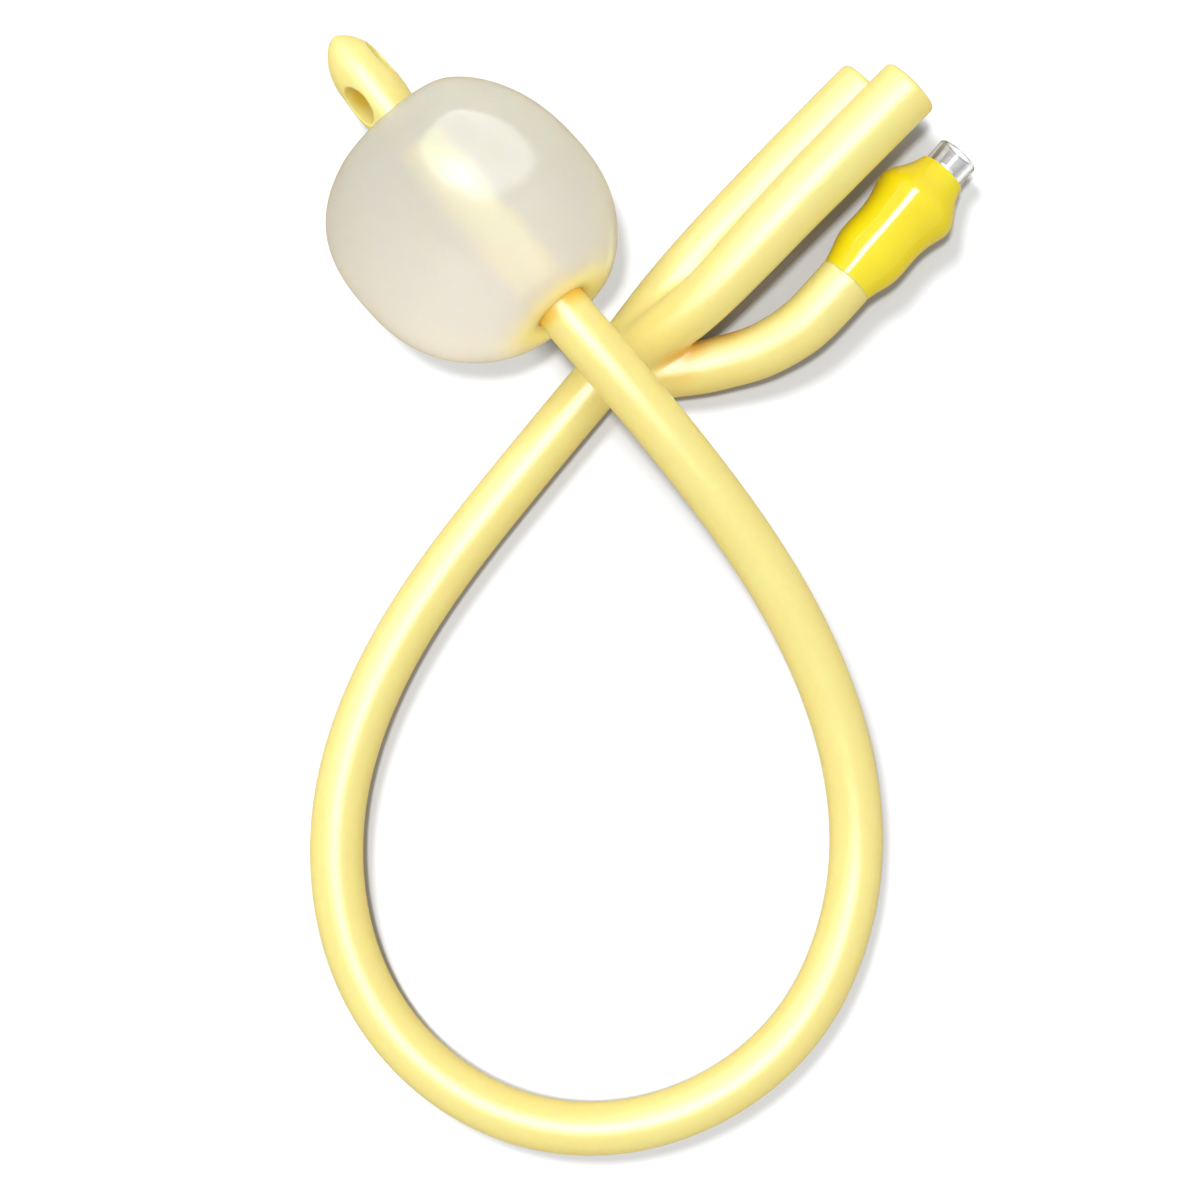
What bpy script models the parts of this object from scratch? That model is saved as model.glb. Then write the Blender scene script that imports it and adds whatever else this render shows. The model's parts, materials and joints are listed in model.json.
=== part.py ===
"""Three-way balloon catheter, lying in one open loop with its balloon inflated.

Metres in the scene; the design below is written in millimetres and scaled
once by MM. +Z is up and z = 0 is the table. +X is the way the drainage funnel
opens, and the tip points roughly along +Y. The origin is the middle of the
object's footprint.
"""
import math

import bmesh
import bpy
import numpy as np
from mathutils import Matrix, Vector

MM = 0.001

# ---------------------------------------------------------------- dimensions
SHAFT_D = 7.333            # 22 Fr
R = SHAFT_D / 2
GAP = 0.3                  # clearance between neighbouring pieces

# lumens in the shaft: (radius, sideways, up) from the shaft's centreline
LUMEN_DRAIN = (1.75, 0.0, 1.05)
LUMEN_IRRIG = (0.85, -1.05, -1.75)
LUMEN_INFLATE = (0.50, 1.15, -1.85)

# balloon
BALLOON_R = 17.97          # outer radius
BALLOON_A = 18.56          # half length of the body
BALLOON_POWER = 2.4        # squareness of the body's section
BALLOON_WALL = 0.5
BALLOON_DIMPLE = 3.2       # how far the ends draw in to the shaft
BALLOON_DIMPLE_R = 10.0
BALLOON_OFF = 1.6          # the body bulges to one side of the shaft
BALLOON_SKEW = 0.023       # and leans a little in plan
CUFF_LEN = 3.0
CUFF_WALL = 0.5
BALLOON_C = (24.88, 47.26, 18.04)
BALLOON_TILT = 4.0         # the shaft rises towards the loop, degrees

# tip
TIP_R = 3.92
TIP_LEN = 13.7
TIP_HEADING = (0.141, 0.990)   # the tip bends a little off the shaft's line
TIP_NOSE = 7.0
EYE_LEN = 6.0
EYE_WIDTH = 3.5

# the shaft's route on the table, from the tip's end to the hub (x, y)
ROUTE = [
    (26.05, 64.4), (24.88, 47.3), (23.8, 31.2), (23.4, 26.3), (22.6, 16.0),
    (21.0, 0.1), (19.3, -10.6), (16.6, -21.4), (12.6, -31.9), (7.0, -41.7),
    (-0.4, -50.1), (-9.5, -56.4), (-19.8, -60.2), (-30.8, -60.7),
    (-41.6, -57.8), (-51.0, -51.8), (-57.9, -43.2), (-61.6, -32.8),
    (-61.9, -21.7), (-58.8, -11.1), (-52.8, -1.8), (-44.7, 5.8),
    (-30.0, 13.5), (-13.7, 17.7), (2.9, 19.8), (20.9, 21.45),
]
ROUTE_END_SLOPE = (1.0, 0.08)   # heading where the shaft enters the hub
EXIT_Z = 19.17             # height where the shaft leaves the balloon
EXIT_S = 33.3              # route length from the tip's end to there
LANDING = 90.0             # the shaft is down on the table after this much more
SHAFT_SEGMENTS = 58

# funnels: (x, y, z, radius) along each centreline
IRRIG_ARM = [
    (19.6, 21.4, 3.67, 3.66), (24.3, 21.9, 3.75, 3.65), (28.0, 22.4, 3.85, 3.65),
    (31.2, 22.8, 3.9, 3.7), (34.7, 23.2, 3.95, 3.75), (41.6, 23.7, 4.0, 3.85),
    (51.5, 24.0, 4.05, 3.95), (62.2, 24.1, 4.12, 4.05), (70.0, 24.1, 4.17, 4.12),
    (76.0, 24.1, 4.17, 4.12),
]
DRAIN_ARM = [
    (19.6, 21.3, 3.6, 3.66), (21.3, 21.35, 3.75, 3.66), (24.3, 21.1, 4.4, 3.65), (28.0, 20.55, 5.6, 3.7),
    (30.7, 20.1, 6.8, 3.72), (33.9, 19.45, 8.2, 3.75), (36.5, 19.1, 9.1, 3.8),
    (39.6, 18.9, 9.9, 3.85), (44.2, 18.9, 10.6, 3.95), (51.5, 19.15, 11.2, 4.15),
    (62.2, 19.35, 11.55, 4.33), (71.0, 19.4, 11.6, 4.35), (79.0, 19.4, 11.6, 4.35),
]
INFLATE_ARM = [
    (20.0, 22.3, 3.67, 2.2), (21.6, 21.0, 3.67, 2.8), (24.25, 18.8, 3.75, 3.45), (29.2, 15.2, 3.9, 3.65),
    (32.8, 12.5, 4.2, 3.7), (35.6, 10.8, 4.5, 3.75), (39.1, 8.85, 5.1, 3.8),
    (42.5, 7.65, 5.7, 3.85), (45.9, 6.95, 6.3, 3.9), (50.1, 6.87, 6.8, 3.93),
    (54.15, 7.08, 7.15, 3.95),
]
DRAIN_BORE = 3.6           # radius of the drainage funnel's bore at the mouth
IRRIG_BORE = 3.35
LIP = 0.45                 # rounding of the funnels' lips

# inflation valve: its axis runs from the mouth back into the arm
VALVE_MOUTH = (77.85, 8.43, 5.5)
VALVE_HEADING = 3.3        # degrees from +X towards +Y
VALVE_DROOP = 4.0          # degrees below level
VALVE_TRAVEL = 2.0
LUER_R = 3.05
LUER_BORE = (2.14, 1.95)   # mouth and bottom radius of the tapered bore
LUER_DEPTH = 7.5
SEAT_WEB = 1.2
SEAT_R = 1.0
CHAMBER_R = 2.0
HOUSING_LEN = 20.0
JOINT_S = 23.6             # the arm's end, measured from the mouth
SLEEVE = [                 # (distance from the mouth, half width)
    (3.4, 3.45), (5.0, 4.0), (6.9, 5.15), (8.9, 6.1), (11.4, 5.4),
    (14.6, 4.95), (17.2, 5.05), (19.4, 4.95), (21.6, 4.3), (23.3, 3.9),
]

# middle of the footprint, so that it becomes the origin
FOOT_X, FOOT_Y = 6.58, 6.945


# ------------------------------------------------------------------- scene
for ob in list(bpy.data.objects):
    bpy.data.objects.remove(ob, do_unlink=True)

parts = bpy.data.collections.new("foley_catheter")
cutters = bpy.data.collections.new("cutters")
bpy.context.scene.collection.children.link(parts)
bpy.context.scene.collection.children.link(cutters)


def material(name, colour, roughness, metallic=0.0, alpha=1.0):
    mat = bpy.data.materials.new(name)
    mat.use_nodes = True
    bsdf = mat.node_tree.nodes["Principled BSDF"]
    bsdf.inputs["Base Color"].default_value = (*colour, 1)
    bsdf.inputs["Roughness"].default_value = roughness
    bsdf.inputs["Metallic"].default_value = metallic
    bsdf.inputs["Alpha"].default_value = alpha
    return mat


LATEX = material("latex", (0.93, 0.80, 0.36), 0.35)
FILM = material("balloon_film", (0.86, 0.82, 0.70), 0.3, alpha=0.5)
SLEEVE_YELLOW = material("sleeve_yellow", (0.90, 0.76, 0.02), 0.2)
CLEAR = material("clear_plastic", (0.85, 0.87, 0.88), 0.08, alpha=0.5)
WHITE = material("white_plastic", (0.85, 0.86, 0.86), 0.35)
SEAL_RUBBER = material("seal_rubber", (0.16, 0.16, 0.17), 0.6)
STEEL = material("spring_steel", (0.60, 0.61, 0.62), 0.3, metallic=1.0)


# ------------------------------------------------------------- geometry help
def placed(x, y, z):
    """A design point in millimetres as a scene point in metres."""
    return Vector(((x - FOOT_X) * MM, (y - FOOT_Y) * MM, z * MM))


def natural_spline(points, first=None, last=None):
    """Smooth curve through points; returns a function of route length."""
    p = np.array(points, float)
    t = np.concatenate([[0], np.cumsum(np.linalg.norm(np.diff(p, axis=0), axis=1))])
    n = len(p)
    a = np.zeros((n, n))
    b = np.zeros_like(p)
    h = np.diff(t)
    for i in range(1, n - 1):
        a[i, i - 1], a[i, i], a[i, i + 1] = h[i - 1], 2 * (h[i - 1] + h[i]), h[i]
        b[i] = 6 * ((p[i + 1] - p[i]) / h[i] - (p[i] - p[i - 1]) / h[i - 1])
    a[0, 0] = a[-1, -1] = 1
    if first is not None:
        d = np.array(first, float)
        d /= np.linalg.norm(d)
        a[0, 0], a[0, 1] = 2 * h[0], h[0]
        b[0] = 6 * ((p[1] - p[0]) / h[0] - d)
    if last is not None:
        d = np.array(last, float)
        d /= np.linalg.norm(d)
        a[-1, -1], a[-1, -2] = 2 * h[-1], h[-1]
        b[-1] = 6 * (d - (p[-1] - p[-2]) / h[-1])
    m = np.linalg.solve(a, b)

    def at(s):
        i = int(np.clip(np.searchsorted(t, s) - 1, 0, n - 2))
        u, v = (t[i + 1] - s), (s - t[i])
        return ((m[i] * u ** 3 + m[i + 1] * v ** 3) / (6 * h[i])
                + (p[i] / h[i] - m[i] * h[i] / 6) * u
                + (p[i + 1] / h[i] - m[i + 1] * h[i] / 6) * v)

    return at, t[-1]


def even(points, count, **ends):
    """count + 1 points, evenly spaced, on the smooth curve through points."""
    at, length = natural_spline(points, **ends)
    fine = np.array([at(s) for s in np.linspace(0, length, 1200)])
    run = np.concatenate([[0], np.cumsum(np.linalg.norm(np.diff(fine, axis=0), axis=1))])
    want = np.linspace(0, run[-1], count + 1)
    return np.stack([np.interp(want, run, fine[:, k]) for k in range(fine.shape[1])], 1), run[-1]


def shaft_height(s):
    """Height of the shaft's centreline at route length s from the tip's end."""
    slope = math.tan(math.radians(BALLOON_TILT))
    if s <= EXIT_S:
        return EXIT_Z + (s - EXIT_S) * slope
    t = min(1.0, (s - EXIT_S) / LANDING)
    return ((2 * t ** 3 - 3 * t ** 2 + 1) * EXIT_Z
            + (t ** 3 - 2 * t ** 2 + t) * LANDING * slope
            + (3 * t ** 2 - 2 * t ** 3) * R)


def frames(points):
    """Tangent, side and up at each point of a path that never runs upright."""
    tangent = np.gradient(points, axis=0)
    tangent /= np.linalg.norm(tangent, axis=1)[:, None]
    side = np.cross(tangent, (0, 0, 1.0))
    side /= np.linalg.norm(side, axis=1)[:, None]
    return tangent, side, np.cross(side, tangent)


def link(ob, collection=parts):
    collection.objects.link(ob)
    return ob


def smooth(ob, angle=35):
    ob.data.shade_smooth()
    ob.data.set_sharp_from_angle(angle=math.radians(angle))


def finish(ob, mat):
    ob.data.materials.clear()
    ob.data.materials.append(mat)
    smooth(ob)
    return ob


def tube(name, points, radius, sides=2, collection=parts, radii=None):
    """A round tube along points (mm), as a welded mesh."""
    curve = bpy.data.curves.new(name, "CURVE")
    curve.dimensions = "3D"
    curve.twist_mode = "Z_UP"
    curve.bevel_depth = radius * MM
    curve.bevel_resolution = sides
    curve.use_fill_caps = True
    spline = curve.splines.new("POLY")
    spline.points.add(len(points) - 1)
    for i, q in enumerate(points):
        spline.points[i].co = (*placed(*q), 1)
        if radii is not None:
            spline.points[i].radius = radii[i] / radius
    raw = link(bpy.data.objects.new(name + "_curve", curve), cutters)
    bpy.context.view_layer.update()
    mesh = bpy.data.meshes.new_from_object(
        raw.evaluated_get(bpy.context.evaluated_depsgraph_get()))
    mesh.name = name
    bm = bmesh.new()
    bm.from_mesh(mesh)
    bmesh.ops.remove_doubles(bm, verts=bm.verts, dist=0.00001)
    bmesh.ops.recalc_face_normals(bm, faces=bm.faces)
    bm.to_mesh(mesh)
    bm.free()
    mesh.materials.clear()
    ob = bpy.data.objects.new(name, mesh)
    ob.matrix_world = raw.matrix_world
    bpy.data.objects.remove(raw, do_unlink=True)
    link(ob, collection)
    if collection is cutters:
        as_cutter(ob)
    return ob


def as_cutter(ob):
    ob.hide_render = True
    ob.display_type = "WIRE"
    return ob


def turned(name, profile, steps=24, collection=parts):
    """A solid turned about local Z from a closed (radius, z) outline in mm.

    The outline runs down its outer side and back up its inner side, or back
    up the axis itself where the piece is solid.
    """
    mesh = bpy.data.meshes.new(name)
    bm = bmesh.new()
    verts = [bm.verts.new((r * MM, 0, z * MM)) for r, z in profile]
    closed = all(r > 1e-6 for r, z in profile)
    for a, b in zip(verts, verts[1:] + verts[:1] if closed else verts[1:]):
        bm.edges.new((a, b))
    bm.to_mesh(mesh)
    bm.free()
    ob = link(bpy.data.objects.new(name, mesh), collection)
    screw = ob.modifiers.new("turn", "SCREW")
    screw.axis = "Z"
    screw.angle = math.tau
    screw.steps = screw.render_steps = steps
    screw.use_merge_vertices = True
    screw.merge_threshold = 0.00001
    screw.use_smooth_shade = True
    if collection is cutters:
        as_cutter(ob)
    return ob


def cut(ob, *tools):
    for tool in tools:
        mod = ob.modifiers.new("cut", "BOOLEAN")
        mod.operation = "DIFFERENCE"
        mod.solver = "EXACT"
        mod.object = tool
    return ob


def join(ob, *tools):
    for tool in tools:
        mod = ob.modifiers.new("join", "BOOLEAN")
        mod.operation = "UNION"
        mod.solver = "EXACT"
        mod.object = tool
    return ob


# --------------------------------------------------------------------- shaft
flat, ROUTE_LEN = even([(x, y) for x, y in ROUTE], SHAFT_SEGMENTS,
                       first=(-0.07, -1.0), last=ROUTE_END_SLOPE)
step = ROUTE_LEN / SHAFT_SEGMENTS
path = np.array([(x, y, shaft_height(i * step)) for i, (x, y) in enumerate(flat)])
tangent, side, up = frames(path)

shaft = tube("shaft", path, R, sides=4)


def lumen(name, spec):
    r, across, above = spec
    line = path + side * across + up * above
    line = np.vstack([line[0] - tangent[0] * 1.0, line, line[-1] + tangent[-1] * 1.0])
    return tube(name, line, r, sides=1 if r > 1 else 0, collection=cutters)


# the port through which the balloon is filled
port_i = int(round(12.0 / step))
port = bpy.data.objects.new("port_cutter", bpy.data.meshes.new("port_cutter"))
link(as_cutter(port), cutters)
bm = bmesh.new()
bmesh.ops.create_cone(bm, cap_ends=True, segments=8, radius1=0.45 * MM,
                      radius2=0.45 * MM, depth=2.4 * MM)
bm.to_mesh(port.data)
bm.free()
port_at = path[port_i] + side[port_i] * LUMEN_INFLATE[1] + up[port_i] * (LUMEN_INFLATE[2] - 1.2)
port.matrix_world = Matrix.Translation(placed(*port_at))

cut(shaft, lumen("shaft_drain_lumen", LUMEN_DRAIN), lumen("shaft_irrig_lumen", LUMEN_IRRIG),
    lumen("shaft_inflate_lumen", LUMEN_INFLATE), port)
finish(shaft, LATEX)

# ----------------------------------------------------------------------- tip
# local Z runs from the tip's base to its nose
tip_frame = Matrix.Identity(4)
tip_z = Vector((*TIP_HEADING, -math.tan(math.radians(BALLOON_TILT)))).normalized()
tip_x = tip_z.cross(Vector((0, 0, 1))).normalized()
tip_y = tip_z.cross(tip_x).normalized()
for k, axis in enumerate((tip_x, tip_y, tip_z)):
    tip_frame.col[k][:3] = axis
tip_frame.translation = placed(*(path[0] + np.array(tip_z) * (GAP + 0.25)))
tip_empty = link(bpy.data.objects.new("tip_frame", None))
tip_empty.matrix_world = tip_frame


def tip_radius(z):
    """Radius of the tip at height z above its base."""
    back = TIP_LEN - z
    if back <= TIP_NOSE:
        return TIP_R * (1 - (1 - back / TIP_NOSE) ** 2) ** 0.65
    t = min(1.0, z / 3.0)
    return R + (TIP_R - R) * t * t * (3 - 2 * t)


zs = [TIP_LEN - TIP_NOSE * (1 - math.cos(a)) for a in np.linspace(0.12, math.pi / 2, 9)]
outer = [(0.0, TIP_LEN)] + [(tip_radius(z), z) for z in zs]
outer += [(tip_radius(z), z) for z in (4.6, 3.0, 2.0, 1.0)] + [(R, 0.0), (0.0, 0.0)]
tip = turned("tip", outer, steps=20)
tip.parent = tip_empty

# local side of the tip that faces the sky, for placing the lumens and eyes
sky = tip_frame.inverted().to_3x3() @ Vector((0, 0, 1))
sky_angle = math.atan2(sky.y, sky.x)


def tip_local(across, above):
    """Local (x, y) for a lumen that continues the shaft's own."""
    v = tip_frame.inverted().to_3x3() @ Vector(side[0] * across + up[0] * above)
    return v.x, v.y


def cone_cutter(name, r1, r2, depth, matrix, segments=12, parent=None):
    ob = bpy.data.objects.new(name, bpy.data.meshes.new(name))
    link(as_cutter(ob), cutters)
    bm = bmesh.new()
    bmesh.ops.create_cone(bm, cap_ends=True, segments=segments, radius1=r1 * MM,
                          radius2=r2 * MM, depth=depth * MM)
    bm.to_mesh(ob.data)
    bm.free()
    ob.parent = parent
    ob.matrix_basis = matrix
    return ob


x, y = tip_local(LUMEN_DRAIN[1], LUMEN_DRAIN[2])
drain_well = cone_cutter("tip_drain_well", LUMEN_DRAIN[0], 1.55, 9.4,
                         Matrix.Translation((x * MM, y * MM, (9.4 / 2 - 1.0) * MM)),
                         parent=tip_empty)
x, y = tip_local(LUMEN_IRRIG[1], LUMEN_IRRIG[2])
irrig_well = cone_cutter("tip_irrig_well", LUMEN_IRRIG[0], LUMEN_IRRIG[0], 3.4,
                         Matrix.Translation((x * MM, y * MM, 0.7 * MM)),
                         segments=8, parent=tip_empty)


def eye(name, turn, z, length, width, depth):
    """An oval cutter that points out of the tip, turn degrees from the top.

    Turn is positive towards the tip's right as seen from above with the nose
    pointing away.
    """
    a = sky_angle + math.radians(turn)
    out = Vector((math.cos(a), math.sin(a), 0))
    across = Vector((-math.sin(a), math.cos(a), 0))
    m = Matrix.Identity(4)
    for k, axis in enumerate((across, Vector((0, 0, 1)), across.cross(Vector((0, 0, 1))))):
        m.col[k][:3] = axis
    if m.col[2].to_3d().dot(out) < 0:
        m.col[0] = -m.col[0]
        m.col[2] = -m.col[2]
    m.translation = (out * (depth + 2.4) + Vector((0, 0, z))) * MM
    ob = cone_cutter(name, 0.5, 0.5, 4.8, Matrix.Identity(4), segments=14)
    bm = bmesh.new()
    bm.from_mesh(ob.data)
    bmesh.ops.scale(bm, vec=(width, length, 1.0), verts=bm.verts)
    bm.to_mesh(ob.data)
    bm.free()
    ob.parent = tip_empty
    ob.matrix_basis = m
    return ob


eye_a = eye("eye_near", -48, 4.4, EYE_LEN, EYE_WIDTH, 0.2)
eye_b = eye("eye_far", 70, 7.4, EYE_LEN - 0.4, EYE_WIDTH - 0.2, 0.2)
x, y = tip_local(LUMEN_IRRIG[1], LUMEN_IRRIG[2])
irrig_turn = math.degrees(math.atan2(y, x) - sky_angle)
eye_c = eye("irrigation_eye", irrig_turn, 1.7, 1.4, 1.2, 2.0)
cut(tip, drain_well, irrig_well, eye_a, eye_b, eye_c)
finish(tip, LATEX)

# ------------------------------------------------------------------- balloon
heading = math.radians(math.degrees(math.atan2(-0.998, -0.068)))
tilt = math.radians(BALLOON_TILT)
balloon_z = Vector((math.cos(heading) * math.cos(tilt), math.sin(heading) * math.cos(tilt),
                    math.sin(tilt)))
balloon_x = Vector((-math.sin(heading), math.cos(heading), 0))
balloon_frame = Matrix.Identity(4)
for k, axis in enumerate((balloon_x, balloon_z.cross(balloon_x), balloon_z)):
    balloon_frame.col[k][:3] = axis
balloon_frame.translation = placed(*BALLOON_C)


def balloon_section(inset, from_r):
    """Half of the body's section, from the equator to radius from_r."""
    line = []
    for a in np.linspace(0, math.pi / 2, 60):
        along = (BALLOON_A - inset) * abs(math.sin(a)) ** (2 / BALLOON_POWER)
        out = (BALLOON_R - inset) * abs(math.cos(a)) ** (2 / BALLOON_POWER)
        draw = max(0.0, 1 - (out / BALLOON_DIMPLE_R) ** 2) ** 2
        line.append((out, along - BALLOON_DIMPLE * draw))
    line = np.array([q for q in line if q[0] >= from_r])
    run = np.concatenate([[0], np.cumsum(np.linalg.norm(np.diff(line, axis=0), axis=1))])
    return run, line


def thin_line(run, line, count):
    want = np.linspace(0, run[-1], count)
    return [(np.interp(w, run, line[:, 0]), np.interp(w, run, line[:, 1])) for w in want]


cuff_in = R + GAP
cuff_out = cuff_in + CUFF_WALL
skin = thin_line(*balloon_section(0.0, cuff_out + 0.6), 11)
lining = thin_line(*balloon_section(BALLOON_WALL, cuff_out + 0.6), 10)
end_z = skin[-1][1] - 0.1
profile = [(cuff_in, end_z)]
profile += [(r, z) for r, z in reversed(skin)]
profile += [(r, -z) for r, z in skin[1:]]
profile += [(cuff_in, -end_z), (cuff_in, -end_z + CUFF_LEN), (cuff_out, -end_z + CUFF_LEN)]
profile += [(cuff_out, -end_z + BALLOON_WALL)]
profile += [(r, -z) for r, z in reversed(lining)]
profile += [(r, z) for r, z in lining[1:]]
profile += [(cuff_out, end_z - BALLOON_WALL), (cuff_out, end_z - CUFF_LEN),
            (cuff_in, end_z - CUFF_LEN)]
balloon = turned("balloon", profile, steps=28)
bpy.context.view_layer.update()
balloon_mesh = bpy.data.meshes.new_from_object(
    balloon.evaluated_get(bpy.context.evaluated_depsgraph_get()))
balloon.modifiers.clear()
balloon.data = balloon_mesh
for v in balloon_mesh.vertices:
    r = math.hypot(v.co.x, v.co.y) / MM
    t = min(1.0, max(0.0, (r - cuff_out - 0.2) / (BALLOON_R - cuff_out - 0.2)))
    t = t * t * (3 - 2 * t)
    x, z = v.co.x, v.co.z
    v.co.x = x + (BALLOON_SKEW * z - BALLOON_OFF * MM) * t
    v.co.z = z + BALLOON_SKEW * x * t
balloon.matrix_world = balloon_frame
finish(balloon, FILM)

# ---------------------------------------------------------------- funnel hub
hub_gap = Vector(tangent[-1]).normalized()


def arm_path(rows, count):
    pts, _ = even([row[:3] for row in rows], count)
    xs = np.array([row[0] for row in rows])
    rs = np.array([row[3] for row in rows])
    return pts, np.interp(pts[:, 0], xs, rs)


drain_pts, drain_r = arm_path(DRAIN_ARM, 14)
irrig_pts, irrig_r = arm_path(IRRIG_ARM, 13)
arm_pts, arm_r = arm_path(INFLATE_ARM, 13)


def lipped(pts, rs):
    """Adds a rounded lip at the far end of a tapering tube."""
    d = (pts[-1] - pts[-2]) / np.linalg.norm(pts[-1] - pts[-2])
    end, r = pts[-1], rs[-1]
    pts = np.vstack([pts[:-1], end - d * LIP, end - d * LIP * 0.3, end])
    return pts, np.concatenate([rs[:-1], [r, r - LIP * 0.3, r - LIP * 0.75]])


# the mouths are square to +X, so the last stretch runs level along +X
for pts in (drain_pts, irrig_pts):
    pts[-2][1:] = pts[-1][1:]
drain_pts, drain_r = lipped(drain_pts, drain_r)
irrig_pts, irrig_r = lipped(irrig_pts, irrig_r)

funnel_hub = tube("funnel_hub", drain_pts, 1.0, sides=4, radii=drain_r)
irrig_body = tube("irrig_body", irrig_pts, 1.0, sides=4, collection=cutters, radii=irrig_r)
arm_body = tube("arm_body", arm_pts, 1.0, sides=4, collection=cutters, radii=arm_r)
join(funnel_hub, irrig_body, arm_body)


def bore(name, pts, start, radii, sides=4):
    """A channel from the shaft's lumen out through one arm."""
    spec_r, across, above = start
    n = len(pts)
    line = np.array(pts)
    lead = path[-1] + side[-1] * across + up[-1] * above
    for i in range(n):
        t = min(1.0, i / (0.35 * n))
        t = t * t * (3 - 2 * t)
        shift = (side[-1] * across + up[-1] * above) * (1 - t)
        line[i] = line[i] + shift
    line[0] = lead + tangent[-1] * GAP
    line = np.vstack([lead - tangent[-1] * 0.7, line])
    return tube(name, line, 1.0, sides=sides, collection=cutters,
                radii=np.concatenate([[spec_r], [spec_r], radii[1:]]))


def flare(pts, r0, r1, begin=0.3, end=0.75):
    n = len(pts)
    t = np.clip((np.arange(n) / (n - 1) - begin) / (end - begin), 0, 1)
    t = t * t * (3 - 2 * t)
    return r0 + (r1 - r0) * t


def beyond(pts, extra):
    d = (pts[-1] - pts[-2]) / np.linalg.norm(pts[-1] - pts[-2])
    return np.vstack([pts[:-1], pts[-1] + d * extra])


drain_line, _ = arm_path(DRAIN_ARM, 12)
irrig_line, _ = arm_path(IRRIG_ARM, 12)
inflate_line, _ = arm_path(INFLATE_ARM, 12)
for pts in (drain_line, irrig_line):
    pts[-2][1:] = pts[-1][1:]
drain_bore = bore("drain_bore", beyond(drain_line, 1.0), LUMEN_DRAIN,
                  flare(drain_line, LUMEN_DRAIN[0], DRAIN_BORE))
irrig_bore = bore("irrig_bore", beyond(irrig_line, 1.0), LUMEN_IRRIG,
                  flare(irrig_line, LUMEN_IRRIG[0], IRRIG_BORE))
inflate_bore = bore("inflate_bore", beyond(inflate_line, 0.4), LUMEN_INFLATE,
                    flare(inflate_line, LUMEN_INFLATE[0], 0.8, 0.2, 0.7), sides=0)

# --------------------------------------------------------------------- valve
# local +Z points out of the mouth; local z = 0 is the mouth
hd, dr = math.radians(VALVE_HEADING), math.radians(VALVE_DROOP)
valve_z = Vector((math.cos(hd) * math.cos(dr), math.sin(hd) * math.cos(dr), -math.sin(dr)))
valve_x = Vector((-math.sin(hd), math.cos(hd), 0))
valve_frame = Matrix.Identity(4)
for k, axis in enumerate((valve_x, valve_z.cross(valve_x), valve_z)):
    valve_frame.col[k][:3] = axis
valve_frame.translation = placed(*VALVE_MOUTH)
valve = link(bpy.data.objects.new("valve_axis", None))
valve.matrix_world = valve_frame


def on_valve(name, outline, mat, steps=20, collection=parts):
    ob = turned(name, [(r, -s) for r, s in outline], steps=steps, collection=collection)
    ob.parent = valve
    if mat:
        finish(ob, mat)
    return ob


# the arm ends square to the valve, with a socket for the valve's tail
arm_end = on_valve("arm_end_cutter", [(0, JOINT_S - 6), (8, JOINT_S - 6), (8, JOINT_S), (0, JOINT_S)],
                   None, steps=16, collection=cutters)
socket = on_valve("arm_socket_cutter", [(0, JOINT_S - 1), (2.6, JOINT_S - 1), (2.6, JOINT_S + 6.2),
                                        (0.8, JOINT_S + 7.2), (0, JOINT_S + 7.2)],
                  None, steps=16, collection=cutters)
# the hub ends square to the shaft
root_box = bpy.data.objects.new("root_cutter", bpy.data.meshes.new("root_cutter"))
link(as_cutter(root_box), cutters)
bm = bmesh.new()
bmesh.ops.create_cube(bm, size=1.0)
bmesh.ops.scale(bm, vec=(6 * MM, 24 * MM, 24 * MM), verts=bm.verts)
bm.to_mesh(root_box.data)
bm.free()
m = Matrix.Identity(4)
for k, axis in enumerate((hub_gap, Vector((0, 0, 1)).cross(hub_gap).normalized(), Vector((0, 0, 1)))):
    m.col[k][:3] = axis
m.translation = placed(*(path[-1] + tangent[-1] * (GAP - 3.0)))
root_box.matrix_world = m

cut(funnel_hub, drain_bore, irrig_bore, inflate_bore, arm_end, socket, root_box)
finish(funnel_hub, LATEX)

seat_top = LUER_DEPTH
seat_under = LUER_DEPTH + SEAT_WEB
valve_housing = on_valve("valve_housing", [
    (LUER_BORE[0], 0.0), (LUER_R - 0.35, 0.0), (LUER_R, 0.35), (LUER_R, HOUSING_LEN),
    (CHAMBER_R, HOUSING_LEN), (CHAMBER_R, seat_under), (SEAT_R, seat_under),
    (SEAT_R, seat_top), (LUER_BORE[1], seat_top)], CLEAR, steps=24)

valve_plunger = on_valve("valve_plunger", [
    (0, 2.6), (1.0, 2.6), (1.2, 2.8), (1.2, 5.0), (0.62, 5.0), (0.62, 10.2), (1.55, 10.2),
    (1.55, 11.2), (0.55, 11.2), (0.55, 12.6), (0, 12.6)], WHITE, steps=16)

valve_seal = on_valve("valve_seal", [
    (0.95, 9.0), (1.45, 9.0), (1.6, 9.15), (1.6, 9.75), (1.45, 9.9), (0.95, 9.9)],
    SEAL_RUBBER, steps=16)

valve_retainer = on_valve("valve_retainer", [
    (0.8, 16.5), (1.65, 16.5), (1.65, HOUSING_LEN + GAP), (2.9, HOUSING_LEN + GAP),
    (2.9, 21.3), (1.9, 21.3), (1.9, 24.6), (2.25, 25.0), (1.9, 26.6), (2.2, 27.0),
    (1.7, 28.6), (0.8, 28.6)], WHITE, steps=16)

# sleeve: bulbous outside, bored to clear the housing
sleeve_line, _ = even(SLEEVE, 14)
sleeve_bore = LUER_R + GAP
valve_sleeve = on_valve("valve_sleeve", [(r, s) for s, r in sleeve_line]
                        + [(sleeve_bore, SLEEVE[-1][0]), (sleeve_bore, SLEEVE[0][0])],
                        SLEEVE_YELLOW, steps=24)

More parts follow.
